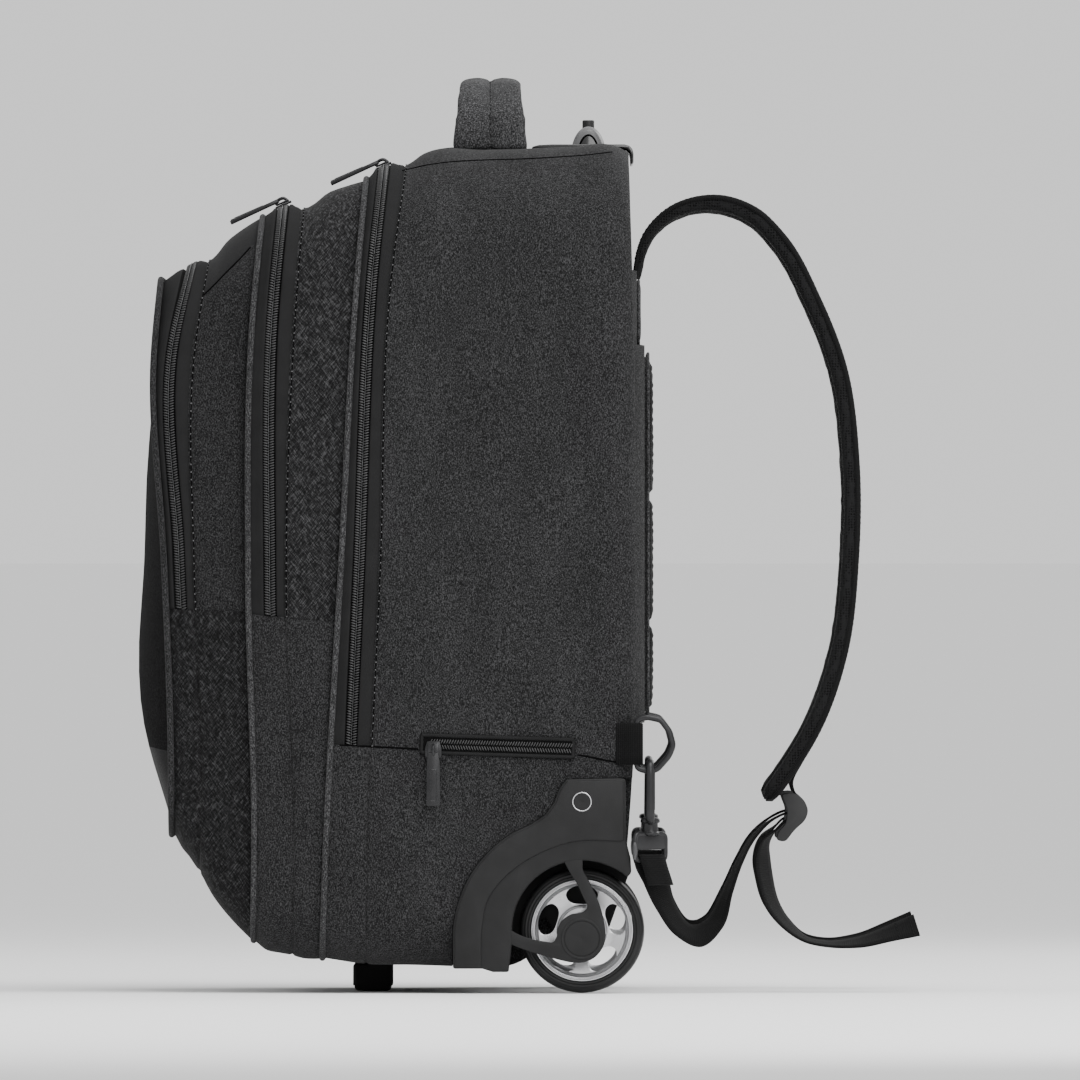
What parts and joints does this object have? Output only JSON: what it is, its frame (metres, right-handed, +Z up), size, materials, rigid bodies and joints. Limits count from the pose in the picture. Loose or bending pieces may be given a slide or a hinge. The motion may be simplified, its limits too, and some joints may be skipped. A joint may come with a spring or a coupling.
{
  "type": "wheeled backpack",
  "caption": "Black wheeled backpack with zipped compartments, inline wheels, a telescopic handle, a carry handle and clip-on shoulder straps.",
  "frame": {"origin": "on the floor under the middle of the whole object's box, in the bag's plane of symmetry", "axes": "+Z up; the bag's front faces -Y and its back, with the shoulder straps, faces +Y; +X is the side with the pocket zip"},
  "size_m": [0.3544, 0.4662, 0.548],
  "materials": {
    "cloth": "heathered polyester weave, matt",
    "pad_mesh": "black air mesh over foam, matt",
    "strap": "black fabric over foam with bound edges, matt",
    "webbing": "black ribbed webbing, slight sheen",
    "zip": "black coil zip on woven tape",
    "gunmetal": "dark gunmetal, satin",
    "housing": "charcoal moulded plastic, fine grain",
    "gloss": "black moulded plastic, glossy",
    "rubber": "dark grey rubber, matt",
    "tyre": "charcoal tyre, satin",
    "rim": "silver paint, satin",
    "tube": "anodised, satin"
  },
  "bodies": {
    "bag": {"front_pocket": "cloth", "middle_pocket": "cloth", "main_compartment": "cloth", "piping_front": "cloth", "piping_middle": "cloth", "piping_main": "cloth", "carry_handle": "cloth", "front_zip": "zip", "middle_zip": "zip", "main_zip": "zip", "side_pocket_zip": "zip", "back_pad_upper": "pad_mesh", "back_pad_lower": "pad_mesh", "shoulder_strap_right": "strap", "shoulder_strap_left": "strap", "lower_webbing_right": "webbing", "lower_webbing_left": "webbing", "strap_tab_right": "webbing", "strap_tab_left": "webbing", "d_ring_loop_right": "webbing", "d_ring_loop_left": "webbing", "d_ring_right": "gunmetal", "d_ring_left": "gunmetal", "snap_hook_right": "gunmetal", "snap_hook_left": "gunmetal", "main_pull_right": "gunmetal", "main_pull_left": "gunmetal", "middle_pull_right": "gunmetal", "middle_pull_left": "gunmetal", "side_zip_pull": "gunmetal", "wheel_housing_right": "housing", "wheel_housing_left": "housing", "ladder_lock_right": "housing", "ladder_lock_left": "housing", "handle_bezel": "gloss", "front_foot": "rubber", "rivet_right": "rim", "rivet_left": "rim", "outer_tube_right": "tube", "outer_tube_left": "tube"},
    "wheel_right": {"tyre_right": "tyre", "rim_right": "rim"},
    "wheel_left": {"tyre_left": "tyre", "rim_left": "rim"},
    "handle_stage": {"mid_tube_right": "tube", "mid_tube_left": "tube"},
    "handle_top": {"inner_tube_right": "tube", "inner_tube_left": "tube", "handle_grip": "gloss"},
    "grip_button": {"release_button": "rubber"}
  },
  "joints": [
    {"name": "wheel_right_spin", "type": "hinge", "parent": "bag", "child": "wheel_right", "pos_m": [0.146, 0.03, 0.0375], "axis": [1, 0, 0], "continuous": true},
    {"name": "wheel_left_spin", "type": "hinge", "parent": "bag", "child": "wheel_left", "pos_m": [-0.146, 0.03, 0.0375], "axis": [1, 0, 0], "continuous": true},
    {"name": "stage_slide", "type": "slide", "parent": "bag", "child": "handle_stage", "axis": [0, 0, 1], "range_m": [0, 0.21]},
    {"name": "grip_slide", "type": "slide", "parent": "handle_stage", "child": "handle_top", "axis": [0, 0, 1], "range_m": [0, 0.23]},
    {"name": "button_press", "type": "slide", "parent": "handle_top", "child": "grip_button", "axis": [0, 0, 1], "range_m": [-0.004, 0], "stiffness_N_per_m": 400}
  ]
}
